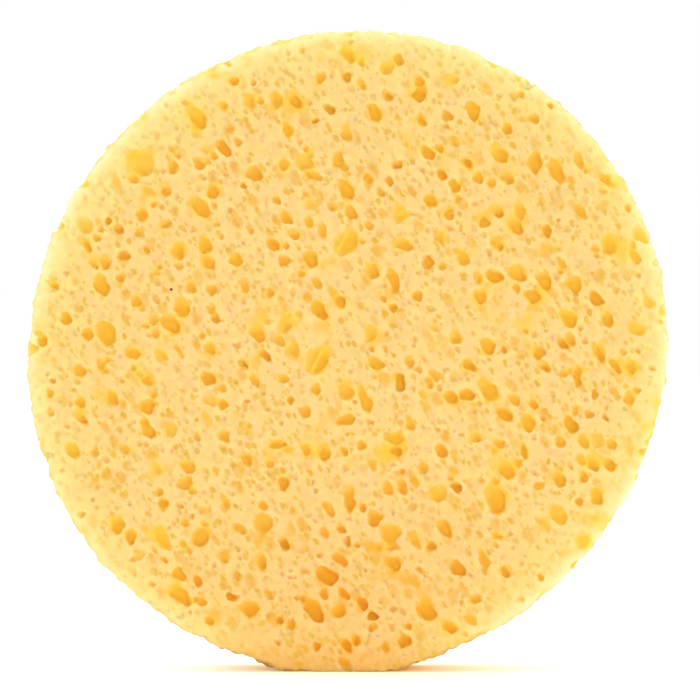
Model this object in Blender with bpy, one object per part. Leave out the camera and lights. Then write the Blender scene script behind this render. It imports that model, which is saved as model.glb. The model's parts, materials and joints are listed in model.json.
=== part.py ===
# Reusable makeup remover pad: a round cellulose sponge that stands on its edge.
# The front face looks along -Y, X is to the right and the floor is at Z = 0.
import math
import random

import bmesh
import bpy
from mathutils import Vector

MM = 0.001

# The blank, cut from a sheet of sponge
MEAN_RADIUS = 40.0 * MM
OVAL_GAIN = 0.65 * MM
OVAL_ANGLE = math.radians(45.0)
THICKNESS = 12.0 * MM
EDGE_ROUND = 0.9 * MM
OUTLINE_POINTS = 72
EDGE_STEPS = 2
LEVEL_TOLERANCE = 0.01 * MM

# The foot, where the soft rim is pressed flat by the pad's weight
FOOT_BULGE = 1.0 * MM
FOOT_BULGE_ANGLE = math.radians(12.0)
FOOT_SQUASH = 0.8 * MM
CENTRE_HEIGHT = MEAN_RADIUS + FOOT_BULGE - FOOT_SQUASH

# Pores in general
PORE_GAP = 0.3 * MM
CORE_WALL = 4.0 * MM
PORE_DEPTH_LIMIT = 2.4 * MM
DEEPEST_PORE = min(PORE_DEPTH_LIMIT, (THICKNESS - CORE_WALL) / 2)
PORE_ROUGHNESS = 0.10
LARGE_PORE = 2.6 * MM
MEDIUM_PORE = 1.8 * MM
LARGE_SIDES = 9
MEDIUM_SIDES = 7
SMALL_SIDES = 6
LIP_SHARE = 0.5
EDGE_MARGIN = 1.0 * MM

# How a pore narrows with depth: share of the depth, share of the width, sideways lean
LARGE_BOWL = ((0.5, 0.84, 0.12), (1.0, 0.45, 0.36))
SMALL_BOWL = ((1.0, 0.5, 0.3),)
SLANT_ANGLE = math.radians(-55.0)

# Pores that fill the spaces left on each face
FRONT_FILL = 50
BACK_FILL = 80
RIM_FILL = 40
FILL_LENGTHS = (1.3 * MM, 2.9 * MM)
FILL_SKEW = 2.2
FILL_STRETCH = (1.15, 1.9)
FILL_DEPTH_SHARE = (0.45, 0.95)
FILL_LEAN = math.radians(-60.0)
FILL_LEAN_SPREAD = math.radians(22.0)
FILL_TRIES = 400
FILL_SEED = 7
BACK_CLEAR_RADIUS = 2.5 * MM
RIM_CLEAR_ANGLE = math.radians(18.0)
RIM_DEPTH_LIMIT = 1.4 * MM
RIM_EDGE_MARGIN = 1.6 * MM

SPONGE_COLOUR = (0.96, 0.66, 0.21, 1.0)
SPONGE_ROUGHNESS = 0.95
SHARP_ANGLE = math.radians(40.0)

# The pores of the front face that the eye finds first, each as
# (x, z, length, width, lean, depth): millimetres from the pad's centre, and the
# lean of the long axis in degrees, positive from +X towards +Z.
UPPER_LEFT_PORES = (
    (-18.9, 29.0, 3.2, 2.3, -50, 1.5), (-25.7, 23.6, 4.1, 3.1, -60, 0.9),
    (-22.1, 22.9, 2.5, 1.5, -80, 1.2), (-22.7, 20.0, 1.9, 1.7, -45, 1.3),
    (-25.9, 17.0, 2.1, 1.3, -10, 1.2), (-28.8, 15.1, 2.1, 1.6, -45, 1.2),
    (-18.5, 17.9, 3.4, 1.8, -42, 1.4), (-16.9, 20.0, 2.5, 1.7, -75, 1.3),
    (-15.7, 25.3, 3.0, 1.6, -58, 1.7), (-15.7, 30.9, 2.0, 1.4, 10, 1.2),
    (-12.2, 31.3, 2.5, 1.9, -85, 0.7), (-6.6, 31.3, 2.3, 1.4, -55, 1.7),
    (-2.5, 30.0, 2.1, 1.8, -45, 1.6), (-4.1, 28.6, 1.2, 1.1, -45, 1.9),
    (-0.3, 34.5, 2.4, 1.5, -65, 1.2), (-0.3, 27.3, 2.7, 1.5, -80, 1.1),
    (-5.6, 23.6, 2.8, 2.1, -50, 0.8), (-0.3, 20.2, 2.7, 1.8, -65, 1.5),
    (-4.7, 18.3, 2.5, 2.2, 60, 0.8), (-6.9, 14.5, 2.0, 1.5, -40, 1.1),
    (-0.4, 13.8, 4.1, 2.9, 60, 1.1), (-9.5, 13.3, 2.2, 1.6, -35, 1.3),
    (-30.3, 10.9, 2.1, 1.8, -60, 1.3), (-30.9, 8.1, 3.1, 2.1, -75, 1.6),
    (-32.6, 13.3, 2.2, 1.3, -50, 1.0), (-21.3, 12.4, 2.4, 1.6, -65, 1.4),
    (-22.1, 3.2, 3.5, 2.0, -40, 1.5), (-20.7, 5.4, 2.7, 1.9, -50, 1.4),
    (-30.3, 2.4, 3.9, 2.2, -65, 1.5), (-3.9, 8.6, 1.9, 1.3, -50, 1.1),
    (-3.6, 5.3, 2.9, 1.9, -60, 1.9), (-1.0, 6.3, 2.3, 1.2, -52, 1.4),
    (-8.1, 3.5, 2.3, 2.0, 80, 0.7),
)
UPPER_RIGHT_PORES = (
    (0.0, 37.0, 2.4, 1.3, -40, 1.0), (1.8, 33.6, 2.1, 1.2, -75, 0.9),
    (8.9, 32.0, 2.2, 1.9, 0, 1.9), (4.9, 31.8, 1.9, 1.5, -50, 1.2),
    (3.1, 29.7, 2.9, 1.3, -58, 1.6), (9.2, 28.9, 2.4, 1.2, -55, 1.1),
    (6.1, 23.1, 1.9, 1.5, -70, 1.4), (2.6, 21.3, 2.2, 1.2, -50, 1.2),
    (11.4, 25.3, 2.1, 1.1, -52, 1.1), (13.3, 26.3, 2.1, 1.3, -75, 0.9),
    (11.8, 21.9, 1.7, 1.3, -40, 1.6), (6.2, 17.2, 2.8, 2.1, 65, 0.9),
    (11.2, 14.1, 2.3, 1.8, -80, 0.9), (15.5, 30.2, 3.0, 1.5, -68, 1.2),
    (18.9, 24.6, 2.7, 2.0, -55, 1.4), (23.4, 23.6, 3.6, 2.0, 75, 1.4),
    (26.1, 22.5, 3.9, 2.1, -78, 1.6), (19.9, 21.7, 2.2, 1.5, -20, 1.5),
    (14.9, 23.4, 1.9, 1.2, -45, 1.6), (18.8, 17.3, 1.7, 1.4, -35, 1.6),
    (16.9, 16.3, 2.4, 1.7, -50, 1.2), (32.2, 21.5, 2.5, 1.2, -52, 0.9),
    (32.5, 13.4, 2.9, 1.9, -85, 1.2), (18.7, 13.2, 2.6, 1.4, -45, 1.2),
    (25.8, 12.6, 2.4, 1.5, 5, 0.6), (2.9, 9.9, 2.7, 1.9, -45, 1.2),
    (5.6, 8.9, 3.7, 1.4, -74, 1.2), (9.9, 11.1, 2.5, 1.6, 80, 1.5),
    (16.1, 9.2, 2.2, 1.6, -45, 1.2), (21.1, 9.7, 3.0, 2.0, -42, 1.1),
    (23.2, 6.7, 2.5, 1.8, -45, 1.9), (32.4, 3.8, 2.3, 2.0, 45, 1.2),
    (26.9, 0.8, 2.3, 1.4, -45, 1.7), (2.8, 2.3, 2.9, 2.2, 55, 0.9),
    (13.2, 1.6, 2.4, 1.8, -20, 1.2), (36.0, 3.0, 2.9, 2.2, -50, 0.6),
)
LOWER_LEFT_PORES = (
    (-23.4, -0.6, 2.2, 1.4, -60, 0.8), (-24.9, -3.8, 2.2, 1.5, -50, 0.9),
    (-29.4, -5.8, 2.7, 1.4, -70, 1.3), (-33.3, -8.5, 2.4, 1.4, -55, 1.2),
    (-34.4, -12.3, 2.9, 1.9, -75, 1.2), (-31.7, -12.3, 2.3, 1.5, -80, 0.9),
    (-10.3, -0.6, 2.5, 1.3, -55, 1.2), (-13.1, -1.7, 2.1, 1.4, -45, 1.3),
    (-3.8, -1.1, 4.3, 2.7, 55, 1.4), (-8.1, -3.4, 2.0, 1.5, -60, 1.1),
    (-0.3, -5.1, 2.6, 1.8, -50, 1.2), (-7.3, -6.1, 2.0, 1.2, -50, 1.1),
    (-3.1, -12.9, 2.4, 1.5, -65, 1.7), (-12.8, -13.6, 2.6, 1.4, -60, 1.4),
    (-23.2, -23.4, 3.5, 2.0, -60, 0.8), (-21.2, -27.8, 2.2, 1.8, -45, 1.1),
    (-18.9, -28.7, 1.9, 1.5, -80, 1.3), (-21.0, -30.7, 3.7, 2.0, -38, 1.4),
    (-14.7, -30.6, 2.3, 1.2, -10, 1.7), (-15.5, -25.8, 2.2, 1.8, -60, 0.7),
    (-11.1, -17.0, 2.1, 1.8, 0, 0.6), (-10.5, -21.5, 3.1, 2.3, -50, 1.1),
    (-8.1, -24.2, 2.2, 1.4, -70, 1.6), (-2.6, -28.1, 3.2, 2.2, -30, 2.2),
    (-4.3, -32.6, 3.9, 1.9, -48, 1.8), (-1.3, -32.7, 2.3, 1.6, 70, 1.1),
    (-12.2, -32.2, 2.3, 2.1, 0, 1.3), (-0.1, -23.7, 2.2, 1.1, 85, 1.1),
)
LOWER_RIGHT_PORES = (
    (7.5, -1.2, 2.5, 1.6, -70, 0.8), (6.3, -3.9, 2.8, 1.5, -85, 1.8),
    (2.0, -6.1, 3.9, 1.5, -75, 1.2), (12.7, -5.8, 2.4, 1.7, -45, 1.5),
    (6.0, -12.5, 2.1, 1.6, 0, 2.0), (11.8, -12.6, 2.5, 1.5, -65, 1.4),
    (15.3, -1.8, 2.2, 1.3, -42, 1.5), (24.9, -2.2, 2.1, 1.0, -50, 1.7),
    (28.7, -3.1, 3.4, 1.1, -82, 1.3), (31.4, -0.4, 3.0, 1.3, -62, 1.3),
    (17.5, -5.0, 3.2, 1.9, -42, 1.3), (19.6, -8.0, 2.4, 1.7, -40, 1.9),
    (27.8, -9.2, 2.8, 1.6, -60, 1.7), (32.2, -8.2, 2.5, 1.1, -58, 1.2),
    (35.2, -5.8, 2.3, 1.4, -50, 1.1), (25.6, -9.7, 2.4, 1.4, -80, 0.7),
    (21.9, -12.2, 2.8, 1.1, -75, 1.3), (33.1, -11.5, 2.5, 1.3, -78, 0.9),
    (6.9, -17.2, 2.4, 1.1, 88, 1.2), (13.4, -17.1, 2.1, 1.9, -45, 2.0),
    (0.3, -18.6, 4.0, 1.5, -88, 1.4), (8.2, -23.6, 2.6, 1.6, -55, 0.8),
    (2.7, -24.1, 3.2, 2.4, -40, 0.6), (3.2, -33.3, 1.9, 1.4, -10, 1.8),
    (9.9, -32.8, 3.3, 1.8, -38, 1.4), (0.9, -36.2, 2.2, 1.1, -70, 1.2),
    (4.6, -36.8, 2.3, 1.3, -65, 0.9), (19.8, -15.0, 2.8, 1.6, -50, 1.3),
    (23.6, -16.7, 2.3, 1.5, 20, 1.1), (18.4, -18.6, 4.0, 2.3, -78, 1.8),
    (26.3, -20.6, 3.2, 2.0, -78, 1.0), (31.2, -18.1, 2.8, 1.8, -50, 1.2),
    (30.5, -14.2, 2.3, 1.6, -45, 1.2), (32.8, -14.3, 2.2, 1.3, -55, 1.3),
    (19.5, -27.7, 2.3, 1.5, -62, 1.3), (15.9, -31.0, 2.3, 1.7, 0, 1.2),
)
LANDMARK_PORES = UPPER_LEFT_PORES + UPPER_RIGHT_PORES + LOWER_LEFT_PORES + LOWER_RIGHT_PORES


def clear_scene():
    for old in list(bpy.data.objects):
        bpy.data.objects.remove(old)


def outline_radius(angle):
    oval = OVAL_GAIN * math.cos(2 * (angle - OVAL_ANGLE))
    from_foot = math.remainder(angle + math.pi / 2, math.tau)
    bulge = FOOT_BULGE * math.exp(-(from_foot / FOOT_BULGE_ANGLE) ** 2)
    return MEAN_RADIUS + oval + bulge


def outline_point(angle):
    radius = outline_radius(angle)
    height = max(0.0, CENTRE_HEIGHT + radius * math.sin(angle))
    return radius * math.cos(angle), height


def make_material():
    material = bpy.data.materials.new("yellow_cellulose_sponge")
    material.use_nodes = True
    shader = material.node_tree.nodes["Principled BSDF"]
    shader.inputs["Base Color"].default_value = SPONGE_COLOUR
    shader.inputs["Roughness"].default_value = SPONGE_ROUGHNESS
    shader.inputs["Metallic"].default_value = 0.0
    return material


def make_object(name, shape):
    mesh = bpy.data.meshes.new(name)
    shape.to_mesh(mesh)
    shape.free()
    item = bpy.data.objects.new(name, mesh)
    bpy.context.scene.collection.objects.link(item)
    return item


def make_blank():
    shape = bmesh.new()
    ring = []
    for step in range(OUTLINE_POINTS):
        x, z = outline_point(math.tau * step / OUTLINE_POINTS - math.pi / 2)
        ring.append(shape.verts.new((x, -THICKNESS / 2, z)))
    front = shape.faces.new(ring)
    grown = bmesh.ops.extrude_face_region(shape, geom=[front])
    moved = [item for item in grown["geom"] if isinstance(item, bmesh.types.BMVert)]
    bmesh.ops.translate(shape, verts=moved, vec=(0.0, THICKNESS, 0.0))
    bmesh.ops.recalc_face_normals(shape, faces=shape.faces)
    corners = [edge for edge in shape.edges if is_face_corner(edge)]
    bmesh.ops.bevel(shape, geom=corners, offset=EDGE_ROUND, segments=EDGE_STEPS,
                    profile=0.5, affect="EDGES", clamp_overlap=True)
    return make_object("sponge_pad", shape)


def is_face_corner(edge):
    start, end = edge.verts
    return math.isclose(start.co.y, end.co.y, abs_tol=LEVEL_TOLERANCE)


# A pore in its own flat frame: u runs right and v up as seen from outside that face
class Pore:
    def __init__(self, u, v, length, width, lean, depth):
        self.u = u
        self.v = v
        self.length = length
        self.width = width
        self.lean = lean
        self.depth = min(depth, DEEPEST_PORE)

    def clears(self, other):
        reach = (self.length + other.length) / 2 + PORE_GAP
        return math.hypot(self.u - other.u, self.v - other.v) > reach

    def rim(self, sides, rng):
        points = []
        for side in range(sides):
            angle = math.tau * side / sides
            wobble = 1 + rng.uniform(-PORE_ROUGHNESS, PORE_ROUGHNESS)
            along = self.length / 2 * math.cos(angle) * wobble
            across = self.width / 2 * math.sin(angle) * wobble
            points.append((along * math.cos(self.lean) - across * math.sin(self.lean),
                           along * math.sin(self.lean) + across * math.cos(self.lean)))
        return points


def pore_sides(pore):
    if pore.length >= LARGE_PORE:
        return LARGE_SIDES, LARGE_BOWL
    if pore.length >= MEDIUM_PORE:
        return MEDIUM_SIDES, SMALL_BOWL
    return SMALL_SIDES, SMALL_BOWL


# place(u, v, depth) turns a point of the face's own frame into a point of the pad
def cut_pore(shape, pore, place, slant, rng):
    sides, bowl = pore_sides(pore)
    rim = pore.rim(sides, rng)
    first_depth, first_scale, first_lean = bowl[0]
    lip = (-first_depth * LIP_SHARE, 1 + (1 - first_scale) * LIP_SHARE, -first_lean * LIP_SHARE)
    loops = []
    for depth_share, scale, lean in (lip,) + bowl:
        shift = lean * pore.width
        middle_u = pore.u + shift * math.cos(SLANT_ANGLE) * slant
        middle_v = pore.v + shift * math.sin(SLANT_ANGLE) * slant
        depth = depth_share * pore.depth
        loops.append([shape.verts.new(place(middle_u + u * scale, middle_v + v * scale, depth))
                      for u, v in rim])
    shape.faces.new(loops[0])
    for upper, lower in zip(loops, loops[1:]):
        for side in range(sides):
            following = (side + 1) % sides
            shape.faces.new((upper[side], upper[following], lower[following], lower[side]))
    shape.faces.new(reversed(loops[-1]))


def make_cutter(name, pores, place, slant, rng):
    shape = bmesh.new()
    for pore in pores:
        cut_pore(shape, pore, place, slant, rng)
    bmesh.ops.recalc_face_normals(shape, faces=shape.faces)
    cutter = make_object(name, shape)
    cutter.hide_render = True
    cutter.display_type = "WIRE"
    return cutter


def inside_face(pore):
    distance = math.hypot(pore.u, pore.v)
    angle = math.atan2(pore.v, pore.u)
    floor_gap = CENTRE_HEIGHT + pore.v
    edge_gap = min(outline_radius(angle) - distance, floor_gap)
    return edge_gap > EDGE_ROUND + pore.width / 2


def well_inside_face(pore):
    distance = math.hypot(pore.u, pore.v)
    return distance + pore.length / 2 < MEAN_RADIUS - EDGE_ROUND - EDGE_MARGIN


# Small pores are many and large ones few, as in blown sponge
def random_pore(u, v, rng, depth_limit):
    shortest, longest = FILL_LENGTHS
    length = shortest + (longest - shortest) * rng.random() ** FILL_SKEW
    width = length / rng.uniform(*FILL_STRETCH)
    lean = rng.gauss(FILL_LEAN, FILL_LEAN_SPREAD)
    depth = min(width * rng.uniform(*FILL_DEPTH_SHARE), depth_limit)
    return Pore(u, v, length, width, lean, depth)


def fill_face(pores, wanted, rng, clear_radius=0.0):
    filled = list(pores)
    for _ in range(wanted * FILL_TRIES):
        if len(filled) == len(pores) + wanted:
            break
        u = rng.uniform(-MEAN_RADIUS, MEAN_RADIUS)
        v = rng.uniform(-MEAN_RADIUS, MEAN_RADIUS)
        pore = random_pore(u, v, rng, DEEPEST_PORE)
        if math.hypot(u, v) < clear_radius + pore.length / 2 or not well_inside_face(pore):
            continue
        if all(pore.clears(other) for other in filled):
            filled.append(pore)
    return filled


# On the rim u is the way round from the foot and v the way across
def fill_rim(wanted, rng):
    filled = []
    half_way = MEAN_RADIUS * (math.pi - RIM_CLEAR_ANGLE)
    for _ in range(wanted * FILL_TRIES):
        if len(filled) == wanted:
            break
        v_limit = THICKNESS / 2 - EDGE_ROUND - RIM_EDGE_MARGIN
        u = rng.uniform(-half_way, half_way)
        v = rng.uniform(-v_limit, v_limit)
        pore = random_pore(u, v, rng, RIM_DEPTH_LIMIT)
        if all(pore.clears(other) for other in filled):
            filled.append(pore)
    return filled


def place_on_front(u, v, depth):
    return Vector((u, -THICKNESS / 2 + depth, CENTRE_HEIGHT + v))


def place_on_back(u, v, depth):
    return Vector((u, THICKNESS / 2 - depth, CENTRE_HEIGHT + v))


def place_on_rim(u, v, depth):
    angle = math.pi / 2 + u / MEAN_RADIUS
    radius = outline_radius(angle) - depth
    return Vector((radius * math.cos(angle), v, CENTRE_HEIGHT + radius * math.sin(angle)))


def landmark_pores():
    pores = []
    for x, z, length, width, lean, depth in LANDMARK_PORES:
        pores.append(Pore(x * MM, z * MM, length * MM, width * MM, math.radians(lean), depth * MM))
    return [pore for pore in pores if inside_face(pore)]


def cut_away(pad, cutter):
    cut = pad.modifiers.new(cutter.name, "BOOLEAN")
    cut.operation = "DIFFERENCE"
    cut.solver = "EXACT"
    cut.object = cutter


def make_pad():
    rng = random.Random(FILL_SEED)
    pad = make_blank()
    front = fill_face(landmark_pores(), FRONT_FILL, rng)
    back = fill_face([], BACK_FILL, rng, BACK_CLEAR_RADIUS)
    rim = fill_rim(RIM_FILL, rng)
    cut_away(pad, make_cutter("front_pores", front, place_on_front, 1, rng))
    cut_away(pad, make_cutter("back_pores", back, place_on_back, -1, rng))
    cut_away(pad, make_cutter("rim_pores", rim, place_on_rim, 1, rng))
    pad.data.materials.append(make_material())
    pad.data.shade_smooth()
    pad.data.set_sharp_from_angle(angle=SHARP_ANGLE)


clear_scene()
make_pad()
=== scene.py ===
import json
import math
import random

import bpy
import numpy as np
from mathutils import Euler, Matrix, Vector
from mathutils.kdtree import KDTree

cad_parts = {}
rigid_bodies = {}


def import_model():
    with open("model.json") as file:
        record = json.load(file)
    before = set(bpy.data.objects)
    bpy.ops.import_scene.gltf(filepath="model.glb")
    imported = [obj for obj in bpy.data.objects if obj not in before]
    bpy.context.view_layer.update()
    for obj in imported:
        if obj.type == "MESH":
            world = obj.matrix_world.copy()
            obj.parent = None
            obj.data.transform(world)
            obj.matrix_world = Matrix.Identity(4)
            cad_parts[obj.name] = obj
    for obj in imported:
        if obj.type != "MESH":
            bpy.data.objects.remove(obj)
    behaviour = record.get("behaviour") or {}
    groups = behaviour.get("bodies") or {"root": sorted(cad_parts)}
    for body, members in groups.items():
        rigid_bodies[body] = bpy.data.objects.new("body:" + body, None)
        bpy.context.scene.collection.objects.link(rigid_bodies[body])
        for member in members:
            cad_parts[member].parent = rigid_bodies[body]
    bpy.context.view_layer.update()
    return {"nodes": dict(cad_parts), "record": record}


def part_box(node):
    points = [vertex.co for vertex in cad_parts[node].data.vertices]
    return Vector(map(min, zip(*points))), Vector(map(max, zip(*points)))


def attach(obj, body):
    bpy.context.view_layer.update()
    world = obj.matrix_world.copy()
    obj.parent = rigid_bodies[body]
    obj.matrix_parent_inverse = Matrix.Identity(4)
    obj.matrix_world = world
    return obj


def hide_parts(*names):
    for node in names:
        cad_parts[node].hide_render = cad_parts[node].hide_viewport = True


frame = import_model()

mm = 0.001


# Small helpers

def selectOnly(piece):
    bpy.ops.object.select_all(action="DESELECT")
    piece.select_set(True)
    bpy.context.view_layer.objects.active = piece


def applyModifier(piece, kind, **settings):
    selectOnly(piece)
    modifier = piece.modifiers.new(kind.title(), kind)
    for name, value in settings.items():
        setattr(modifier, name, value)
    bpy.ops.object.modifier_apply(modifier=modifier.name)


def readPoints(piece):
    flat = np.empty(len(piece.data.vertices) * 3, np.float32)
    piece.data.vertices.foreach_get("co", flat)
    return flat.reshape(-1, 3).astype(float)


def writePoints(piece, points):
    piece.data.vertices.foreach_set("co", points.astype(np.float32).ravel())
    piece.data.update()


def writeValues(piece, name, values):
    attribute = piece.data.attributes.new(name, "FLOAT", "POINT")
    attribute.data.foreach_set("value", values.astype(np.float32))


def easeIn(value, low, high):
    share = np.clip((value - low) / (high - low), 0, 1)
    return share * share * (3 - 2 * share)


# The pad: one block of expanded cellulose sponge, so one piece
padValues = {
    "joinWithin": 0.001 * mm,     # the corners that the solid's faces share
    "voxel": 0.17 * mm,           # finer than the thinnest wall between two pores
    "facetSmoothing": 4,          # takes the facets off the pores of the solid
    "wallSmoothing": 1,
    "triangles": 197000,
    "edgeRound": 0.9 * mm,        # as in the solid
    "cell": 0.2 * mm,             # of the maps that say where a pore is already
    "mapMargin": 2 * mm,
    "poreStarts": 0.15 * mm,
    "roomAround": 0.8,            # how much wider than a seeded pore its free place is
    "readGrowth": 1.22,           # a pore's mouth closes a little when its wall is smoothed
    "overlapAllowed": 0.3,
    "mouth": (0.66, 1.10),        # where a pore's wall begins and ends, in its half widths
    "gentler": 0.24,              # how much sooner it begins on the upper left
    "slant": math.radians(-55),   # the pores dive to the lower right
    "slide": 0.26,                # how far a pore's floor lies to that side, in widths
    "mouthWaves": ((2, 0.10), (3, 0.11), (5, 0.06)),   # how many round each mouth, how high
    "middle": 0.01 * mm,          # keeps a pore's very middle from dividing by nothing
    "floorCurve": 0.15,           # how much shallower a pore is at its wall
    "poreReach": 0.75,            # how far from its middle a pore is worked out, in lengths
    "seed": 11,
    "tries": 40,                  # for each seeded pore's place
    "slimness": (1.1, 1.8),       # a seeded pore's length over its width
    "poreDepth": (0.6, 1.2),      # and its depth, in widths
    "lean": math.radians(-60),    # of the seeded pores, and how far it varies
    "leanSpread": math.radians(24),
    "edgeRoom": 0.4 * mm,         # between a seeded pore's middle and the pad's edge
    "rimLength": 0.92,            # shares of the rim's length and width that hold seeded pores
    "rimWidth": 0.95,
    "sideOverlap": 0.3 * mm,      # how far round the edge a side's pores reach
    "strays": ((0.9 * mm, 2.6 * mm), (0.8 * mm, 0.9 * mm)),      # how far, and over what size
    "reliefs": ((0.22 * mm, 1.5 * mm), (0.55 * mm, 5.0 * mm)),   # height and size
    "rampReach": 0.42 * mm,       # how far the skin beside a pore slopes down to it
    "rampDepth": 0.24 * mm,
    "rampFull": 0.8 * mm,         # a pore of this depth draws the whole slope
    "skinDepths": (0.1 * mm, 0.5 * mm),   # where the skin ends and a pore begins
    "softDepth": 1.2 * mm,        # below this the cells' floors close up
    "softShare": 0.6,
    "wallHalf": 0.32 * mm,        # half the width of a cell wall
    "footPress": 0.30 * mm,
    "footHeight": 1.5 * mm,       # up to which the pad's weight presses it
    "colourSpread": 5,            # rounds in which a pore's depth, for its colour, spreads
    # The pale edge is a painted glow, standing for light that comes through the thin sponge
    "glowReach": 2.6 * mm,        # how far the pale edge reaches across the faces
    "glowDepth": 1.6 * mm,        # and down the rim
    "rimGlow": 0.2,               # the least there
    "glowUneven": 0.12,           # it is stronger at the upper left and the lower right
    "glowAxis": math.radians(135),
    "footGlow": 0.1,              # what is left of it at the foot
    "footGlowRise": (0.5 * mm, 7 * mm),
    # The lip round each pore gets a painted highlight
    "lipStarts": 0.3 * mm,        # the skin ends here for the pale lip round a pore
    "lipWidth": 0.30 * mm,
}

# The face's smaller pores, each (x, z, length, width, lean): millimetres from the pad's
# centre, and the lean of the long axis in degrees. The solid has the larger ones.
shallowPores = (
    (-29.1, 21.1, 3.0, 1.0, -75), (-33.1, 15.9, 2.0, 1.5, -60), (-32.8, 19.7, 2.2, 1.2, -10),
    (-29.7, 17.5, 1.1, 1.0, -60), (-22.9, 13.3, 2.2, 1.5, -60), (-24.1, 8.3, 1.7, 1.5, -60),
    (27.6, 27.6, 2.2, 0.8, -55), (17.0, 33.1, 2.4, 1.0, -50), (20.6, 31.9, 1.3, 1.1, -60),
    (15.2, 26.3, 3.0, 1.0, 85), (29.5, 19.0, 1.2, 0.9, -60), (5.5, 3.8, 1.7, 1.2, -60),
    (34.6, 9.7, 1.5, 1.2, -60), (37.4, 6.2, 1.5, 1.3, -60), (36.4, 14.7, 2.2, 1.5, -55),
    (-17.8, -8.4, 2.1, 1.2, -75), (-17.4, -5.9, 1.9, 1.4, -60), (-22.6, -9.3, 2.3, 1.5, -60),
    (-26.4, -13.7, 1.8, 1.2, -60), (-18.9, -23.3, 1.3, 1.1, -60), (-26.2, -25.3, 1.5, 1.2, -60),
    (-24.0, -27.5, 1.6, 1.2, -60), (-7.3, -22.1, 2.0, 1.1, -85), (9.4, -6.1, 1.5, 1.3, -60),
    (34.8, -11.5, 3.0, 1.1, -75), (31.1, -10.8, 2.2, 1.4, -80), (36.5, -1.1, 1.9, 1.6, -60),
    (11.1, -17.7, 2.0, 1.8, -60), (7.9, -19.4, 1.2, 1.1, -60), (5.2, -22.7, 2.2, 2.0, -60),
    (8.0, -28.6, 2.0, 1.3, -35), (5.4, -34.3, 1.3, 1.1, -60), (13.4, -14.4, 2.0, 1.9, -60),
    (29.1, -20.4, 1.7, 1.3, -60), (15.1, -33.3, 1.6, 1.4, -60), (29.2, -23.6, 1.9, 1.4, 70),
)
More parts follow.
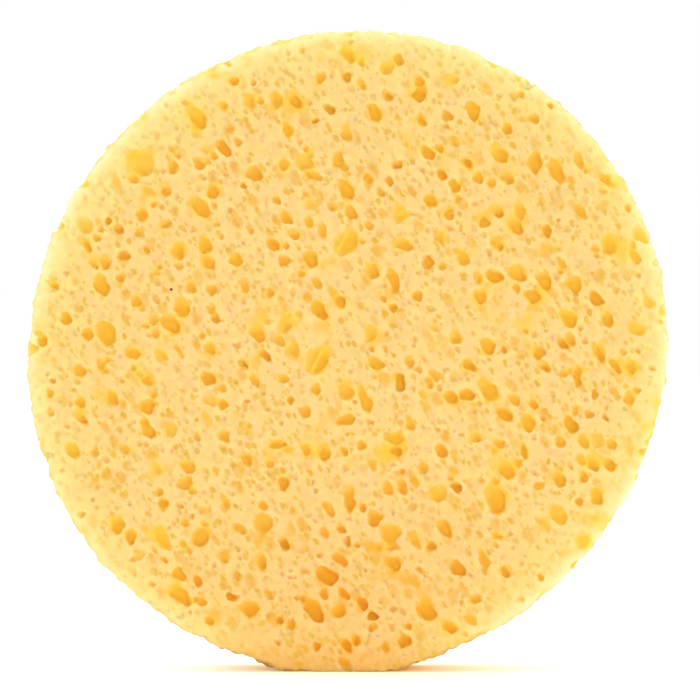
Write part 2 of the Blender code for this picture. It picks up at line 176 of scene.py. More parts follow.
openPores = (
    (-14.9, 27.9, 1.3, 0.9, -60), (-18.7, 23.4, 1.3, 1.2, -60), (-26.9, 21.6, 1.1, 0.9, -60),
    (-25.1, 20.1, 1.4, 0.8, -35), (-18.1, 25.1, 1.1, 0.7, -30), (-26.3, 14.9, 1.3, 0.9, -60),
    (-9.0, 31.4, 1.6, 1.2, -85), (-11.8, 22.2, 1.7, 1.5, -60), (-8.1, 23.4, 1.2, 1.1, -60),
    (-1.3, 24.1, 1.7, 1.2, 75), (-7.9, 16.8, 1.7, 1.2, -60), (-5.0, 16.2, 1.3, 1.0, -60),
    (-3.3, 15.2, 1.6, 0.9, -75), (-18.0, 13.3, 1.7, 1.4, -60), (-17.6, 11.2, 1.5, 1.3, -60),
    (-14.1, 11.5, 1.5, 1.3, -40), (-14.9, -0.1, 1.4, 1.2, -60), (-17.4, 0.4, 1.2, 1.1, -60),
    (-35.3, 4.1, 1.3, 1.2, -60), (-17.2, 5.3, 1.1, 1.0, -60), (-26.6, 6.3, 1.2, 1.1, -60),
    (-17.1, 7.6, 1.2, 1.1, -60), (-27.1, -0.2, 1.5, 1.2, -30), (-4.8, 11.6, 1.7, 1.5, -80),
    (-8.1, 11.3, 1.3, 1.1, -60), (-11.4, 2.1, 1.8, 1.4, -60), (-3.1, 2.4, 1.7, 1.3, -55),
    (-8.7, 1.4, 1.6, 1.0, -60), (-6.8, 0.3, 1.7, 1.0, -80), (6.2, 26.9, 1.7, 1.4, -60),
    (2.4, 24.1, 1.6, 1.1, -20), (0.3, 17.4, 1.5, 1.2, -60), (13.1, 17.3, 1.6, 1.3, -60),
    (12.3, 29.5, 1.3, 1.1, -60), (21.4, 17.6, 1.8, 1.1, -70), (20.9, 15.7, 1.7, 1.4, -60),
    (28.9, 17.6, 1.7, 1.0, -60), (28.8, 23.9, 1.9, 1.0, -70), (16.2, 21.7, 1.2, 1.1, -60),
    (17.9, 21.1, 1.0, 0.9, -60), (21.2, 23.6, 0.9, 0.8, -60), (6.9, 13.3, 1.8, 1.3, -15),
    (24.4, 8.9, 1.7, 1.4, -60), (28.2, 8.4, 1.9, 1.3, -55), (27.5, 4.1, 1.9, 1.6, -50),
    (17.9, 2.8, 1.9, 1.1, -75), (17.4, 0.7, 1.7, 1.5, -60), (9.5, 2.4, 1.8, 1.2, -85),
    (16.4, 6.9, 1.6, 1.2, -30), (14.3, 11.7, 1.6, 1.1, -60), (35.8, 11.9, 1.9, 0.9, -60),
    (-21.5, -1.5, 1.6, 1.3, -60), (-25.2, -6.9, 1.9, 1.5, -10), (-29.9, -10.2, 1.8, 1.3, -30),
    (-25.1, -9.2, 1.3, 0.9, -60), (-28.1, -12.3, 1.3, 0.9, -60), (-15.6, -10.6, 1.3, 1.1, -60),
    (-33.6, -2.4, 1.3, 1.2, -60), (-32.4, -4.4, 1.5, 0.9, 20), (-11.8, -3.6, 1.4, 1.0, -60),
    (-4.1, -4.7, 1.2, 1.1, -60), (-2.6, -9.2, 1.6, 1.2, -20), (-10.0, -12.8, 1.9, 1.4, -40),
    (-5.4, -7.6, 1.4, 1.2, -60), (-5.4, -12.2, 1.1, 1.0, -60), (-28.9, -21.7, 1.7, 1.5, -60),
    (-27.3, -23.1, 1.5, 1.3, -60), (-18.4, -31.3, 1.0, 0.9, -60), (-20.1, -14.5, 1.6, 1.2, -45),
    (-20.5, -16.5, 1.8, 1.2, 15), (-28.3, -16.1, 1.6, 1.1, -50), (-25.0, -20.3, 1.2, 0.6, -45),
    (-14.1, -22.9, 1.2, 0.9, -60), (-2.6, -19.6, 2.0, 1.0, -45), (-1.2, -25.9, 1.5, 1.0, -50),
    (-3.0, -22.7, 1.2, 0.8, -60), (-11.4, -29.8, 1.7, 1.5, -60), (-10.0, -30.3, 1.4, 0.8, -60),
    (-3.1, -30.4, 1.2, 0.9, -60), (-0.4, -39.1, 1.9, 1.0, -30), (3.4, -1.5, 1.9, 1.3, -15),
    (7.9, -7.3, 1.9, 1.1, -30), (5.7, -10.8, 1.9, 1.3, -10), (10.7, -3.0, 1.4, 0.9, -60),
    (23.8, -0.1, 1.6, 1.3, -60), (22.4, -8.9, 1.9, 1.4, -60), (29.3, -11.2, 1.5, 1.0, -60),
    (16.0, -10.8, 1.1, 1.0, -60), (20.7, -6.0, 1.5, 1.0, -60), (4.9, -17.1, 1.6, 1.1, -60),
    (3.2, -20.9, 1.6, 1.3, -60), (12.0, -22.1, 1.9, 1.4, -60), (5.6, -26.5, 1.7, 1.3, -15),
    (7.0, -36.2, 1.6, 1.4, -60), (13.6, -27.1, 1.8, 1.5, -60), (9.3, -14.5, 1.4, 1.0, -60),
    (26.4, -16.0, 1.6, 1.3, -60), (15.3, -24.1, 1.5, 1.2, -60), (16.9, -26.0, 2.0, 1.0, -68),
    (17.2, -32.4, 1.6, 0.9, -15),
)
deepPores = (
    (-30.0, 16.3, 0.8, 0.8, -60), (9.9, 24.8, 1.8, 1.0, -35), (10.6, 19.1, 1.1, 0.8, -60),
    (22.8, 26.2, 1.1, 1.0, -60), (24.8, 15.1, 1.3, 1.0, -60), (18.2, 9.4, 1.7, 1.2, -25),
    (30.9, 6.6, 1.6, 1.3, -60), (15.4, 2.4, 1.8, 1.3, -40), (7.0, 4.1, 1.0, 0.8, -60),
    (-17.6, -3.4, 1.6, 1.3, -60), (-0.3, -8.6, 1.8, 1.1, 20), (-8.9, -11.7, 1.8, 0.8, 0),
    (-23.2, -19.0, 1.1, 1.0, -60), (-8.1, -16.5, 1.3, 1.1, -60), (-0.6, -30.3, 1.5, 0.8, -50),
    (-0.2, -36.9, 1.5, 0.9, -55), (-3.9, -36.9, 1.0, 0.8, -60), (-8.6, -33.7, 0.8, 0.8, -60),
    (14.8, -5.5, 1.6, 1.2, -10), (33.3, -1.8, 1.9, 0.8, -48), (9.8, -22.7, 1.8, 0.7, 85),
    (10.4, -24.4, 1.0, 0.9, -60), (13.4, -23.6, 1.3, 0.7, -80), (1.8, -31.6, 1.3, 1.0, -60),
    (14.4, -22.1, 1.5, 1.0, -55), (20.0, -22.7, 1.1, 1.0, -60),
)
depthShares = {"shallow": 0.34, "open": 0.75, "deep": 1.2}   # of the pore's width

# Cell walls left standing across the largest pores, each (x, z, length, lean, height share)
cellWalls = (
    (-0.5, 14.0, 3.4, 62, 0.75), (-3.9, -1.3, 3.0, 66, 0.70), (9.4, 8.2, 1.6, 20, 0.55),
    (1.7, -13.2, 1.5, 25, 0.55), (17.2, 29.2, 1.8, 40, 0.55), (-20.4, 20.4, 1.4, 30, 0.45),
)

# How many seeded pores each side gets besides, and their lengths in millimetres
seededPores = {
    "front": {"count": 700, "lengths": (0.7, 1.6), "skew": 2.0},
    "back": {"count": 860, "lengths": (0.7, 2.4), "skew": 1.8},
    "rim": {"count": 520, "lengths": (0.7, 2.2), "skew": 1.8},
}


def mountPlace(name):
    mounts = frame["record"]["mounts"]
    return Vector(next(mount["pos_m"] for mount in mounts if mount["name"] == name))


padLow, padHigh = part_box("sponge_pad")
padCentre = mountPlace("back_face").z          # height of the pad's middle
meanRadius = (padHigh.x - padLow.x) / 2
outlineSteps = 72
padSides = ("front", "back", "rim")


# The solid's outline as a distance from the pad's middle for each of its corners
def readOutline(points):
    angles = np.arctan2(points[:, 2] - padCentre, points[:, 0])
    reach = np.hypot(points[:, 0], points[:, 2] - padCentre)
    steps = np.round(angles / math.tau * outlineSteps).astype(int) % outlineSteps
    outline = np.zeros(outlineSteps)
    np.maximum.at(outline, steps, reach)
    return outline


def outlineAt(outline, angles):
    place = np.mod(angles / math.tau, 1) * outlineSteps
    return np.interp(place, np.arange(outlineSteps + 1), np.append(outline, outline[0]))


# Each side laid flat: right, up and depth, as seen from outside
def layFlat(points, side, outline):
    x, y, up = points[:, 0], points[:, 1], points[:, 2] - padCentre
    if side == "front":
        return x.copy(), up.copy(), y - padLow.y
    if side == "back":
        return -x, up.copy(), padHigh.y - y
    fromTop = np.arctan2(x, up)
    edge = outlineAt(outline, np.arctan2(up, x))
    return fromTop * meanRadius, y.copy(), edge - np.hypot(x, up)


def standUp(right, up, depth, side, outline):
    if side == "front":
        return np.stack([right, padLow.y + depth, up + padCentre], 1)
    if side == "back":
        return np.stack([-right, padHigh.y - depth, up + padCentre], 1)
    fromTop = right / meanRadius
    x, z = np.sin(fromTop), np.cos(fromTop)
    reach = outlineAt(outline, np.arctan2(z, x)) - depth
    return np.stack([reach * x, up, reach * z + padCentre], 1)


# How deep a point lies under the pad's skin, its rounded edges included
def depthUnderSkin(points, outline):
    fromFace = np.minimum(points[:, 1] - padLow.y, padHigh.y - points[:, 1])
    fromRim = layFlat(points, "rim", outline)[2]
    rounding = padValues["edgeRound"]
    inCorner = (fromFace < rounding) & (fromRim < rounding)
    corner = rounding - np.hypot(rounding - fromFace, rounding - fromRim)
    return np.where(inCorner, corner, np.minimum(fromFace, fromRim)), fromFace, fromRim


# A map of a side: true where a pore is already
mapReach = math.pi * meanRadius + padValues["mapMargin"]
mapCells = int(2 * mapReach / padValues["cell"]) + 1


def cellOf(place):
    return np.clip(((place + mapReach) / padValues["cell"]).astype(int), 0, mapCells - 1)


def mapPores(right, up, depth, side):
    taken = np.zeros((mapCells, mapCells), bool)
    deep = depth > padValues["poreStarts"]
    if side == "rim":
        deep &= np.abs(up) < padHigh.y - padValues["edgeRound"]
    taken[cellOf(right[deep]), cellOf(up[deep])] = True
    return taken


def cellsIn(pore, growth):
    half = pore["length"] / 2 * growth
    steps = np.arange(-half, half + padValues["cell"], padValues["cell"])
    right, up = np.meshgrid(steps, steps, indexing="ij")
    along = right * math.cos(pore["lean"]) + up * math.sin(pore["lean"])
    across = up * math.cos(pore["lean"]) - right * math.sin(pore["lean"])
    inside = np.hypot(along / pore["length"], across / pore["width"]) < growth / 2
    return cellOf(pore["right"] + right[inside]), cellOf(pore["up"] + up[inside])


def readPores():
    pores = []
    for kind, rows in (("shallow", shallowPores), ("open", openPores), ("deep", deepPores)):
        for x, z, length, width, lean in rows:
            growth = padValues["readGrowth"] * mm
            pores.append({
                "right": x * mm, "up": z * mm,
                "length": length * growth, "width": width * growth,
                "lean": math.radians(lean), "depth": width * growth * depthShares[kind],
            })
    return pores


def seedPore(side, dice):
    values = seededPores[side]
    shortest, longest = values["lengths"]
    length = (shortest + (longest - shortest) * dice.random() ** values["skew"]) * mm
    width = length / dice.uniform(*padValues["slimness"])
    if side == "rim":
        reach = padValues["rimLength"]
        right = dice.uniform(-reach, reach) * math.pi * meanRadius
        up = dice.uniform(padLow.y, padHigh.y) * padValues["rimWidth"]
    else:
        right = dice.uniform(-meanRadius, meanRadius)
        up = dice.uniform(-meanRadius, meanRadius)
    return {
        "right": right, "up": up, "length": length, "width": width,
        "lean": dice.gauss(padValues["lean"], padValues["leanSpread"]),
        "depth": width * dice.uniform(*padValues["poreDepth"]),
    }


def onSide(pore, side, outline):
    if side == "rim":
        return True
    x = -pore["right"] if side == "back" else pore["right"]
    edge = outlineAt(outline, np.array([math.atan2(pore["up"], x)]))[0]
    return math.hypot(x, pore["up"]) < edge - padValues["edgeRoom"]


# Pushes the skin in over one pore, as a thumb would in clay, and slides its floor sideways
def pressPore(right, up, depth, pore, dice):
    fromMiddle, above = right - pore["right"], up - pore["up"]
    reach = pore["length"] * padValues["poreReach"]
    near = np.flatnonzero((np.abs(fromMiddle) < reach) & (np.abs(above) < reach))
    fromMiddle, above = fromMiddle[near], above[near]
    along = fromMiddle * math.cos(pore["lean"]) + above * math.sin(pore["lean"])
    across = above * math.cos(pore["lean"]) - fromMiddle * math.sin(pore["lean"])
    along, across = along / pore["length"] * 2, across / pore["width"] * 2
    angle = np.arctan2(across, along)
    mouthShape = np.ones(len(near))
    for waves, height in padValues["mouthWaves"]:
        mouthShape += height * np.sin(waves * angle + dice.uniform(0, math.tau))
    fromAxis = np.hypot(along, across) / mouthShape
    dive = fromMiddle * math.cos(padValues["slant"]) + above * math.sin(padValues["slant"])
    dive *= pore["slideSign"] / np.maximum(np.hypot(fromMiddle, above), padValues["middle"])
    wallStart, wallEnd = padValues["mouth"]
    share = 1 - easeIn(fromAxis, wallStart + padValues["gentler"] * dive, wallEnd)
    wanted = pore["depth"] * share * (1 - padValues["floorCurve"] * np.clip(fromAxis, 0, 1) ** 2)
    deeper = (wanted > depth[near]) & (share > 0)
    moved = near[deeper]
    slide = share[deeper] * padValues["slide"] * pore["width"] * pore["slideSign"]
    right[moved] += slide * math.cos(padValues["slant"])
    up[moved] += slide * math.sin(padValues["slant"])
    depth[moved] = wanted[deeper]


def choosePores(side, right, up, depth, outline, dice):
    taken = mapPores(right, up, depth, side)
    chosen = []
    for pore in readPores() if side == "front" else []:
        cells = cellsIn(pore, 1)
        if taken[cells].mean() < padValues["overlapAllowed"]:
            taken[cells] = True
            chosen.append(pore)
    count = len(chosen) + seededPores[side]["count"]
    for _ in range(padValues["tries"] * count):
        if len(chosen) == count:
            break
        pore = seedPore(side, dice)
        place = cellsIn(pore, padValues["roomAround"])
        if onSide(pore, side, outline) and not taken[place].any():
            taken[cellsIn(pore, 1)] = True
            chosen.append(pore)
    return chosen


# The skin on the upper left of a pore slopes down to it, as its cells dive to the lower right
def slopeSkin(right, up, depth, slideSign):
    deep = np.zeros((mapCells, mapCells))
    np.maximum.at(deep, (cellOf(right), cellOf(up)), np.clip(depth / padValues["rampFull"], 0, 1))
    steps = np.fft.fftfreq(mapCells) * math.tau * padValues["rampReach"] / padValues["cell"]
    blur = np.exp(-(steps[:, None] ** 2 + steps[None, :] ** 2) / 2)
    near = np.fft.ifft2(np.fft.fft2(deep) * blur).real
    reach = padValues["rampReach"] * slideSign
    places = (cellOf(right + reach * math.cos(padValues["slant"])),
              cellOf(up + reach * math.sin(padValues["slant"])))
    skin = 1 - easeIn(depth, *padValues["skinDepths"])
    depth += skin * near[places] * padValues["rampDepth"]


def leaveWalls(right, up, depth):
    for x, z, length, lean, height in cellWalls:
        fromMiddle, above, tilt = right - x * mm, up - z * mm, math.radians(lean)
        along = fromMiddle * math.cos(tilt) + above * math.sin(tilt)
        across = above * math.cos(tilt) - fromMiddle * math.sin(tilt)
        crest = np.exp(-(across / padValues["wallHalf"]) ** 2) * (np.abs(along) < length / 2 * mm)
        depth -= np.maximum(depth, 0) * height * crest


def pressSide(points, side, outline, dice):
    depths = {name: layFlat(points, name, outline)[2] for name in padSides}
    nearest = np.min(list(depths.values()), axis=0)
    mine = np.flatnonzero(depths[side] <= nearest + padValues["sideOverlap"])
    right, up, depth = layFlat(points[mine], side, outline)
    pores = choosePores(side, right, up, depth, outline, dice)
    slideSign = -1 if side == "back" else 1
    for pore in pores:
        pore["slideSign"] = slideSign
        pressPore(right, up, depth, pore, dice)
    depth -= np.maximum(depth - padValues["softDepth"], 0) * padValues["softShare"]
    slopeSkin(right, up, depth, slideSign)
    if side == "front":
        leaveWalls(right, up, depth)
    points[mine] = standUp(right, up, depth, side, outline)
    print(f"pad: {len(pores)} smaller pores on the {side}")
    return points


def makePad():
    node = frame["nodes"]["sponge_pad"]
    pad = node.copy()
    pad.data = node.data.copy()
    pad.name = pad.data.name = "spongePad"
    pad.parent = None
    for key in list(pad.keys()):
        del pad[key]
    bpy.context.scene.collection.objects.link(pad)
    selectOnly(pad)
    bpy.ops.object.mode_set(mode="EDIT")
    bpy.ops.mesh.select_all(action="SELECT")
    bpy.ops.mesh.remove_doubles(threshold=padValues["joinWithin"])
    bpy.ops.object.mode_set(mode="OBJECT")
    outline = readOutline(readPoints(pad))

    applyModifier(pad, "REMESH", mode="VOXEL", voxel_size=padValues["voxel"])
    applyModifier(pad, "SMOOTH", factor=0.5, iterations=padValues["facetSmoothing"])
    for reach, size in padValues["strays"]:
        displace(pad, reach, size, direction="RGB_TO_XYZ", texture_coords="LOCAL")
    print(f"pad: {len(pad.data.vertices)} points after the first remesh")

    dice = random.Random(padValues["seed"])
    points = readPoints(pad)
    for side in padSides:
        points = pressSide(points, side, outline, dice)
    writePoints(pad, points)

    applyModifier(pad, "REMESH", mode="VOXEL", voxel_size=padValues["voxel"])
    applyModifier(pad, "SMOOTH", factor=0.5, iterations=padValues["wallSmoothing"])
    for height, size in padValues["reliefs"]:
        displace(pad, height, size, direction="NORMAL", texture_coords="LOCAL")
    ratio = padValues["triangles"] / (2 * len(pad.data.polygons))
    applyModifier(pad, "DECIMATE", ratio=ratio, use_collapse_triangulate=True)
    dropCrumbs(pad)
    standOnFloor(pad)
    finishPad(pad, outline)
    return pad


# Cut foam is nowhere even: its outlines stray, and the skin between its pores rises and falls
def displace(pad, strength, size, **settings):
    relief = bpy.data.textures.new("spongeRelief", "CLOUDS")
    relief.noise_scale = size
    relief.noise_depth = 2
    relief.cloud_type = "COLOR"
    applyModifier(pad, "DISPLACE", texture=relief, strength=strength, mid_level=0.5, **settings)
    bpy.data.textures.remove(relief)


# The decimation leaves a few crumbs of two faces; the point nearest the pad's middle is on none
def dropCrumbs(pad):
    nearest = np.linalg.norm(readPoints(pad) - (0, 0, padCentre), axis=1).argmin()
    selectOnly(pad)
    bpy.ops.object.mode_set(mode="EDIT")
    bpy.ops.mesh.select_mode(type="VERT")
    bpy.ops.mesh.select_all(action="DESELECT")
    bpy.ops.object.mode_set(mode="OBJECT")
    pad.data.vertices[int(nearest)].select = True
    bpy.ops.object.mode_set(mode="EDIT")
    bpy.ops.mesh.select_linked()
    bpy.ops.mesh.select_all(action="INVERT")
    bpy.ops.mesh.delete(type="VERT")
    bpy.ops.object.mode_set(mode="OBJECT")


# The pad's own weight flattens the lowest cells
def standOnFloor(pad):
    points = readPoints(pad)
    points[:, 2] -= padValues["footPress"] * (1 - easeIn(points[:, 2], 0, padValues["footHeight"]))
    points[:, 2] = np.maximum(points[:, 2], 0)
    writePoints(pad, points)


def finishPad(pad, outline):
    points = readPoints(pad)
    depth, fromFace, fromRim = depthUnderSkin(points, outline)
    writeValues(pad, "poreDepth", spread(pad, depth) / mm)
    writeValues(pad, "paintedEdgeGlow", glowAt(points, fromFace, fromRim))
    writeValues(pad, "poreLipHighlight", nearPores(points, depth))
    layOutMap(pad, outline)
    selectOnly(pad)
    bpy.ops.object.shade_smooth()
    print(f"pad: {len(pad.data.polygons)} triangles")


# Painted glow: how pale the edge is painted, standing for the light that comes through the thin
# sponge there
def glowAt(points, fromFace, fromRim):
    rimGlow, uneven, footGlow = (padValues[name] for name in ("rimGlow", "glowUneven", "footGlow"))
    glow = np.exp(-np.maximum(fromRim, 0) / padValues["glowReach"])
    downRim = np.exp(-np.maximum(fromFace, 0) / padValues["glowDepth"])
    glow *= rimGlow + (1 - rimGlow) * downRim
    angle = np.arctan2(points[:, 2] - padCentre, points[:, 0])
    glow *= 1 - uneven + uneven * np.cos(2 * (angle - padValues["glowAxis"]))
    return glow * (footGlow + (1 - footGlow) * easeIn(points[:, 2], *padValues["footGlowRise"]))


# Each point takes on some of its neighbours' value, so that colours don't end at a line
def spread(pad, values):
    ends = np.empty(len(pad.data.edges) * 2, np.int32)
    pad.data.edges.foreach_get("vertices", ends)
    first, second = ends.reshape(-1, 2).T
    count = np.bincount(ends, minlength=len(values))
    for _ in range(padValues["colourSpread"]):
        total = np.bincount(first, values[second], len(values))
        total += np.bincount(second, values[first], len(values))
        values = (values + total / count) / 2
    return values


# Where the painted highlight goes: 1 on the skin right beside a pore, falling away over the lip's
# width
def nearPores(points, depth):
    inside = np.flatnonzero(depth > padValues["lipStarts"])
    tree = KDTree(len(inside))
    for number in inside:
        tree.insert(points[number], number)
    tree.balance()
    lipHighlight = np.zeros(len(points))
    for number in np.flatnonzero(depth <= padValues["lipStarts"]):
        lipHighlight[number] = math.exp(-tree.find(points[number])[2] / padValues["lipWidth"])
    return lipHighlight


# The pad's own flat map: its two faces side by side above the unrolled rim
mapLayout = {
    "faceSize": 0.49,
    "faceMargin": 1 * mm,
    "faceMiddles": ((0.25, 0.75), (0.75, 0.75)),
    "rimTurns": 1.1,              # a turn, and room for the faces that cross its ends
    "rimSize": (0.98, 0.2),
    "rimMiddle": (0.47, 0.24),
}


# A triangle that crosses the ends of the unrolled rim goes to its right end
def layOutMap(pad, outline):
    mesh = pad.data
    corners = np.empty(len(mesh.loops), np.int32)
    mesh.loops.foreach_get("vertex_index", corners)
    points = readPoints(pad)
    flats = {side: layFlat(points, side, outline) for side in padSides}
    triangles = corners.reshape(-1, 3)
    depths = np.stack([flats[side][2][triangles].mean(1) for side in padSides])
    nearest = np.repeat(depths.argmin(0), 3)
    rimRight = flats["rim"][0][triangles]
    turn = math.tau * meanRadius
    rimRight += np.where((np.ptp(rimRight, 1)[:, None] > turn / 2) & (rimRight < 0), turn, 0)
    scale = mapLayout["faceSize"] / 2 / (meanRadius + mapLayout["faceMargin"])
    places = np.empty((len(corners), 2))
    for number, middle in enumerate(mapLayout["faceMiddles"]):
        chosen = nearest == number
        for axis in (0, 1):
            flat = flats[padSides[number]][axis][corners[chosen]]
            places[chosen, axis] = flat * scale + middle[axis]
    chosen = nearest == 2
    along = rimRight.ravel()[chosen] / (mapLayout["rimTurns"] * turn)
    across = flats["rim"][1][corners[chosen]] / padHigh.y
    for axis, flat in enumerate((along, across)):
        places[chosen, axis] = flat * mapLayout["rimSize"][axis] + mapLayout["rimMiddle"][axis]
    for name in [layer.name for layer in mesh.uv_layers]:
        mesh.uv_layers.remove(mesh.uv_layers[name])
    layer = mesh.uv_layers.new(name="OFBake")
    layer.data.foreach_set("uv", places.astype(np.float32).ravel())


# Materials

def linear(hexColour):
    levels = [int(hexColour[i:i + 2], 16) / 255 for i in (1, 3, 5)]
    return [c / 12.92 if c <= 0.04045 else ((c + 0.055) / 1.055) ** 2.4 for c in levels] + [1]


def addNode(tree, kind, values=None, links=None, **settings):
    node = tree.nodes.new(kind)
    for name, value in settings.items():
        setattr(node, name, value)
    for socket, value in (values or {}).items():
        node.inputs[socket].default_value = value
    for socket, source in (links or {}).items():
        tree.links.new(source, node.inputs[socket])
    return node


def fillRamp(node, stops):
    elements = node.color_ramp.elements
    while len(elements) > 1:
        elements.remove(elements[-1])
    for number, (position, colour) in enumerate(stops):
        stop = elements[0] if number == 0 else elements.new(position)
        stop.position = position
        stop.color = linear(colour)


# Regenerated cellulose, blown into foam and cut dry: matt, slightly see-through cell walls over a
# skin of fine pits and films. The orange in the pores and pits is painted shade and the pale
# yellow at the edge a painted glow, besides the light that really goes through the walls.
spongeValues = {
    "skinStops": ((0.36, "#F5CF88"), (0.50, "#F5D285"), (0.64, "#F4D583")),
    "skinPatch": 1.1 * mm,
    # The pits are drawn in colour only: their darker orange is painted shade
    "pitShade": "#EEAE28",
    "pitShadeSpacing": 1.5 * mm,
    "pitShadeSizes": (-0.10, 0.64),    # least and most, as a share of the spacing
    "finePitShade": "#E6B53C",
    "finePitShadeSpacing": 0.72 * mm,
    "finePitShadeSizes": (0.10, 0.72),
    "pitEdge": 0.30,              # how softly a pit ends, as a share of the spacing
    "faintestPit": 0.45,
    # Painted highlight on the lips round the pores
    "lipHighlight": "#F6DFAC",
    # Painted shade: the pores' colour deepens to orange the deeper they go
    "poreShadeStops": ((0.00, "#F8CD68"), (0.20, "#FBCB56"), (0.55, "#FDC948"), (1.00, "#FFC640")),
    "deepest": 1.7,               # millimetres under the skin
    "poreFrom": 0.10,             # the skin turns into a pore between these depths, in millimetres
    "poreFull": 0.42,
    "poreTint": "#FCD03A",
    "tintPatch": 5.0 * mm,
    "tintRange": (0.45, 0.7),     # of the noise, and how much of the tint its peaks get
    "tintShare": 0.4,
    # Painted shade: the colours turn darker and more orange towards the foot
    "lowShadeSkin": "#F6C87C",
    "lowShadePore": "#F8B434",
    "lowShadeFrom": 34 * mm,           # how far from the foot the colours begin to turn to orange
    # Painted shade at the foot, orange as where light comes through the sponge next to the table
    "footShade": "#F6BA66",        # next to the table, where the light comes through the sponge
    "footFrom": 5 * mm,
    # Painted glow of the edge: pale yellow on the skin, a yellower orange in the pores
    "edgeGlowYellow": "#F8E77E",
    "edgeGlowPale": "#F7F4D0",
    "palePower": 2.4,             # keeps the palest colour to the very edge
    "edgeGlowPore": "#F8DC40",
    "speck": "#5A4818",           # one fleck of dark plant fibre in the front face
    "speckPlace": (-0.0221, -0.006, 0.0478),
    "speckSize": 0.16 * mm,
    "speckEdge": 1.3,             # in speck sizes, where its colour has faded out
    "wander": 0.5 * mm,           # how far the pits stray from even round shapes
    "wanderSize": 0.7 * mm,
    "grain": 0.28 * mm,
    "leanAngle": math.radians(-30),   # of the pits, and how much longer than wide they are
    "leanStretch": 1.5,
    "roughness": (0.82, 0.98),
    "bumpStrength": 0.4,
    "bumpHeight": 0.08 * mm,
    "ior": 1.46,
    "specular": 0.3,
    "throughShare": 0.6,          # of the light that goes into the cell walls and comes out again
    "throughColour": (1.0, 0.5, 0.2),
    "throughReach": 1.8 * mm,
}


# Where the pits are, drawn in colour only as the painted shade in them: each cell of the pattern
# holds one, of its own size and strength
def pitMask(tree, coordinates, kind):
    smallest, largest = spongeValues[kind + "Sizes"]
    cells = addNode(tree, "ShaderNodeTexVoronoi", {"Scale": 1 / spongeValues[kind + "Spacing"]},
                    {"Vector": coordinates}, feature="F1")
    parts = addNode(tree, "ShaderNodeSeparateColor", links={"Color": cells.outputs["Color"]})
    size = addNode(tree, "ShaderNodeMapRange", {"To Min": smallest, "To Max": largest},
                   {"Value": parts.outputs[0]})
    inside = addNode(tree, "ShaderNodeMath", links={
        0: size.outputs[0], 1: cells.outputs["Distance"]}, operation="SUBTRACT")
    mask = addNode(tree, "ShaderNodeMapRange", {"From Max": spongeValues["pitEdge"]},
                   {"Value": inside.outputs[0]}, interpolation_type="SMOOTHSTEP")
    strength = addNode(tree, "ShaderNodeMapRange", {"To Min": spongeValues["faintestPit"]},
                       {"Value": parts.outputs[1]})
    return addNode(tree, "ShaderNodeMath", links={0: mask.outputs[0], 1: strength.outputs[0]},
                   operation="MULTIPLY").outputs[0]


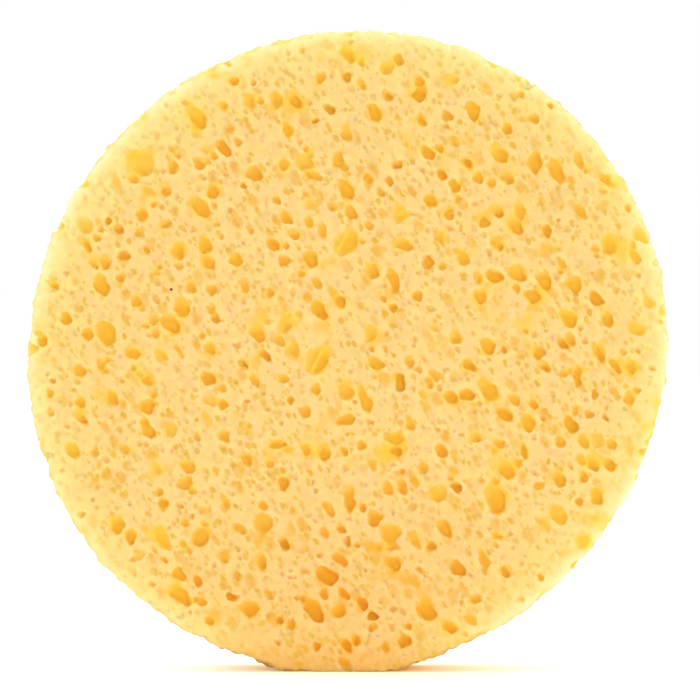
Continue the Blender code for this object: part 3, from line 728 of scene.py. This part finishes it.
def makeSponge():
    material = bpy.data.materials.new("dryCelluloseSponge")
    material.use_nodes = True
    tree = material.node_tree
    shader = tree.nodes["Principled BSDF"]
    place = addNode(tree, "ShaderNodeTexCoord").outputs["Object"]
    turned = addNode(tree, "ShaderNodeMapping", {
        "Rotation": Euler((0, spongeValues["leanAngle"], 0)),
        "Scale": (1, 1, spongeValues["leanStretch"]),
    }, {"Vector": place}, vector_type="TEXTURE").outputs[0]
    stray = addNode(tree, "ShaderNodeTexNoise", {"Scale": 1 / spongeValues["wanderSize"]},
                    {"Vector": place}).outputs["Color"]
    wander = spongeValues["wander"]
    strayed = addNode(tree, "ShaderNodeVectorMath", {1: (wander, wander, wander)},
                      {0: stray, 2: turned}, operation="MULTIPLY_ADD").outputs[0]
    depth = addNode(tree, "ShaderNodeAttribute", attribute_name="poreDepth").outputs["Fac"]
    glow = addNode(tree, "ShaderNodeAttribute", attribute_name="paintedEdgeGlow").outputs["Fac"]
    lipHighlight = addNode(tree, "ShaderNodeAttribute", attribute_name="poreLipHighlight").outputs["Fac"]
    height = addNode(tree, "ShaderNodeSeparateXYZ", links={"Vector": place}).outputs["Z"]
    fromFoot = addNode(tree, "ShaderNodeVectorMath", links={0: place},
                       operation="LENGTH").outputs["Value"]
    # Painted shade: darker and more orange towards the foot
    low = addNode(tree, "ShaderNodeMapRange", {
        "From Min": spongeValues["lowShadeFrom"], "From Max": 0.0},
        {"Value": fromFoot}, interpolation_type="SMOOTHSTEP").outputs[0]
    # Painted shade at the foot, next to the table
    foot = addNode(tree, "ShaderNodeMapRange", {
        "From Min": spongeValues["footFrom"], "From Max": 0.0}, {"Value": height}).outputs[0]
    paleGlow = addNode(tree, "ShaderNodeMath", {1: spongeValues["palePower"]}, {0: glow},
                       operation="POWER").outputs[0]

    # Skin: duller and yellower patches; painted shade, more orange towards the foot and at the
    # foot; two sizes of pits in painted shade; a painted highlight on the lips round the pores and
    # a painted glow at the edge
    patch = addNode(tree, "ShaderNodeTexNoise", {
        "Scale": 1 / spongeValues["skinPatch"], "Detail": 4.0}, {"Vector": turned})
    skinRamp = addNode(tree, "ShaderNodeValToRGB", links={"Fac": patch.outputs["Fac"]})
    fillRamp(skinRamp, spongeValues["skinStops"])
    skin = skinRamp.outputs[0]
    for name, mask in (
        ("lowShadeSkin", low), ("footShade", foot),
        ("pitShade", pitMask(tree, strayed, "pitShade")), ("finePitShade", pitMask(tree, strayed, "finePitShade")),
        ("lipHighlight", lipHighlight), ("edgeGlowYellow", glow), ("edgeGlowPale", paleGlow),
    ):
        skin = addNode(tree, "ShaderNodeMix", {7: linear(spongeValues[name])},
                       {0: mask, 6: skin}, data_type="RGBA").outputs[2]

    # Pores: painted shade, deeper in colour the deeper they go; yellower in places, and more
    # orange near the foot by the painted shade there
    howDeep = addNode(tree, "ShaderNodeMapRange", {"From Max": spongeValues["deepest"]},
                      {"Value": depth})
    poreShadeRamp = addNode(tree, "ShaderNodeValToRGB", links={"Fac": howDeep.outputs[0]})
    fillRamp(poreShadeRamp, spongeValues["poreShadeStops"])
    tint = addNode(tree, "ShaderNodeTexNoise", {
        "Scale": 1 / spongeValues["tintPatch"], "Detail": 1.0}, {"Vector": place})
    tintFrom, tintTo = spongeValues["tintRange"]
    yellower = addNode(tree, "ShaderNodeMapRange", {
        "From Min": tintFrom, "From Max": tintTo, "To Max": spongeValues["tintShare"]},
        {"Value": tint.outputs["Fac"]}).outputs[0]
    pore = poreShadeRamp.outputs[0]
    for name, mask in (("poreTint", yellower), ("lowShadePore", low), ("edgeGlowPore", glow)):
        pore = addNode(tree, "ShaderNodeMix", {7: linear(spongeValues[name])},
                       {0: mask, 6: pore}, data_type="RGBA").outputs[2]

    inPore = addNode(tree, "ShaderNodeMapRange", {
        "From Min": spongeValues["poreFrom"], "From Max": spongeValues["poreFull"]},
        {"Value": depth}, interpolation_type="SMOOTHSTEP")
    colour = addNode(tree, "ShaderNodeMix", links={0: inPore.outputs[0], 6: skin, 7: pore},
                     data_type="RGBA")
    away = addNode(tree, "ShaderNodeVectorMath", {1: spongeValues["speckPlace"]}, {0: place},
                   operation="DISTANCE").outputs["Value"]
    fleck = addNode(tree, "ShaderNodeMapRange", {
        "From Min": spongeValues["speckSize"] * spongeValues["speckEdge"],
        "From Max": spongeValues["speckSize"]}, {"Value": away})
    colour = addNode(tree, "ShaderNodeMix", {7: linear(spongeValues["speck"])},
                     {0: fleck.outputs[0], 6: colour.outputs[2]}, data_type="RGBA")
    tree.links.new(colour.outputs[2], shader.inputs["Base Color"])

    grain = addNode(tree, "ShaderNodeTexNoise", {
        "Scale": 1 / spongeValues["grain"], "Detail": 3.0}, {"Vector": turned}).outputs["Fac"]
    smoothest, roughest = spongeValues["roughness"]
    rough = addNode(tree, "ShaderNodeMapRange", {"To Min": smoothest, "To Max": roughest},
                    {"Value": grain})
    tree.links.new(rough.outputs[0], shader.inputs["Roughness"])
    bump = addNode(tree, "ShaderNodeBump", {
        "Strength": spongeValues["bumpStrength"], "Distance": spongeValues["bumpHeight"]},
        {"Height": grain})
    tree.links.new(bump.outputs[0], shader.inputs["Normal"])

    shader.inputs["IOR"].default_value = spongeValues["ior"]
    shader.inputs["Specular IOR Level"].default_value = spongeValues["specular"]
    shader.inputs["Subsurface Weight"].default_value = spongeValues["throughShare"]
    shader.inputs["Subsurface Radius"].default_value = spongeValues["throughColour"]
    shader.inputs["Subsurface Scale"].default_value = spongeValues["throughReach"]
    return material


# The studio: a white table with a painted shadow round the pad, even light from all round, a large
# lamp in front and one behind, and one above and at each side for the edge
studio = {
    "floorSize": 8.0,
    "floorGap": 0.01 * mm,
    "floorColour": "#FFFFFF",
    "floorRoughness": 0.9,
    "paintedShadowTints": ((0.00, "#C0803C"), (0.30, "#A88E62"), (0.60, "#B4B0A2"), (1.00, "#FFFFFF")),
    "paintedShadowReach": 45 * mm,         # the painted shadow reaches this far, orange as light coming through the sponge
    "paintedShadowMiddle": (0.005, -0.004, 0),
    "skyStrength": 0.31,
    "lamps": (                    # each name, place, width and watts
        ("frontLamp", (0.10, -0.90, 0.20), 0.5, 3.45),
        ("rearLamp", (-0.10, 0.90, 0.20), 0.5, 3.45),
        ("topLamp", (0.00, 0.00, 0.75), 0.6, 1.5),
        ("leftLamp", (-0.46, 0.00, 0.40), 0.5, 1.5),
        ("rightLamp", (0.46, 0.00, 0.40), 0.5, 1.5),
    ),
}


# True for what the camera sees, straight, in a gloss or through glass
def seenByCamera(tree):
    rays = addNode(tree, "ShaderNodeLightPath")
    either = addNode(tree, "ShaderNodeMath", links={
        0: rays.outputs["Is Camera Ray"], 1: rays.outputs["Is Glossy Ray"]}, operation="MAXIMUM")
    seen = addNode(tree, "ShaderNodeMath", links={
        0: either.outputs[0], 1: rays.outputs["Is Transmission Ray"]}, operation="MAXIMUM")
    return seen.outputs[0]


def makeFloor():
    bpy.ops.object.select_all(action="DESELECT")
    bpy.ops.mesh.primitive_plane_add(size=studio["floorSize"],
                                     location=(0, 0, -studio["floorGap"]))
    floor = bpy.context.object
    floor.name = "studioFloor"
    paper = bpy.data.materials.new("whitePaperSweep")
    paper.use_nodes = True
    tree = paper.node_tree
    shader = tree.nodes["Principled BSDF"]
    shader.inputs["Base Color"].default_value = linear(studio["floorColour"])
    shader.inputs["Roughness"].default_value = studio["floorRoughness"]
    shader.inputs["Specular IOR Level"].default_value = 0.0
    # Painted shadow: the camera sees added light on the floor that is white away from the pad and
    # dimmer and orange near it, over the floor's real shadow
    place = addNode(tree, "ShaderNodeTexCoord").outputs["Object"]
    away = addNode(tree, "ShaderNodeVectorMath", {1: studio["paintedShadowMiddle"]}, {0: place},
                   operation="DISTANCE").outputs["Value"]
    far = addNode(tree, "ShaderNodeMapRange", {"From Max": studio["paintedShadowReach"]},
                  {"Value": away})
    tint = addNode(tree, "ShaderNodeValToRGB", links={"Fac": far.outputs[0]})
    fillRamp(tint, studio["paintedShadowTints"])
    tree.links.new(tint.outputs[0], shader.inputs["Emission Color"])
    tree.links.new(seenByCamera(tree), shader.inputs["Emission Strength"])
    floor.data.materials.append(paper)


def makeStudio():
    makeFloor()
    world = bpy.data.worlds.new("whiteStudio")
    bpy.context.scene.world = world
    world.use_nodes = True
    tree = world.node_tree
    strength = addNode(tree, "ShaderNodeMapRange", {
        "To Min": studio["skyStrength"], "To Max": 1.0}, {"Value": seenByCamera(tree)})
    sky = tree.nodes["Background"]
    sky.inputs["Color"].default_value = (1, 1, 1, 1)
    tree.links.new(strength.outputs[0], sky.inputs["Strength"])
    for name, place, size, power in studio["lamps"]:
        bpy.ops.object.light_add(type="AREA", location=place)
        lamp = bpy.context.object
        lamp.name = name
        lamp.data.size = size
        lamp.data.energy = power
        aim = Vector((0, 0, padCentre)) - Vector(place)
        lamp.rotation_euler = aim.to_track_quat("-Z", "Y").to_euler()


# The photograph is taken level with the pad's middle, from straight in front, with a long lens
camera = {
    "distance": 0.5,
    "millimetresAcross": 87.5,    # of the front face's plane
    "middleX": 0.25 * mm,
    "middleAbovePad": 0.05 * mm,
    "sensor": 36.0,
}


def makeCamera():
    place = (camera["middleX"], padLow.y - camera["distance"],
             padCentre + camera["middleAbovePad"])
    bpy.ops.object.camera_add(location=place, rotation=(math.radians(90), 0, 0))
    view = bpy.context.object
    view.name = "studioCamera"
    view.data.sensor_width = camera["sensor"]
    view.data.lens = camera["sensor"] * camera["distance"] / (camera["millimetresAcross"] * mm)
    bpy.context.scene.camera = view


pad = makePad()
pad.data.materials.clear()
pad.data.materials.append(makeSponge())
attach(pad, "root")
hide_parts("sponge_pad")
print("pad: done")

makeStudio()
makeCamera()
bpy.context.scene.view_settings.view_transform = "Standard"
print("studio: done")
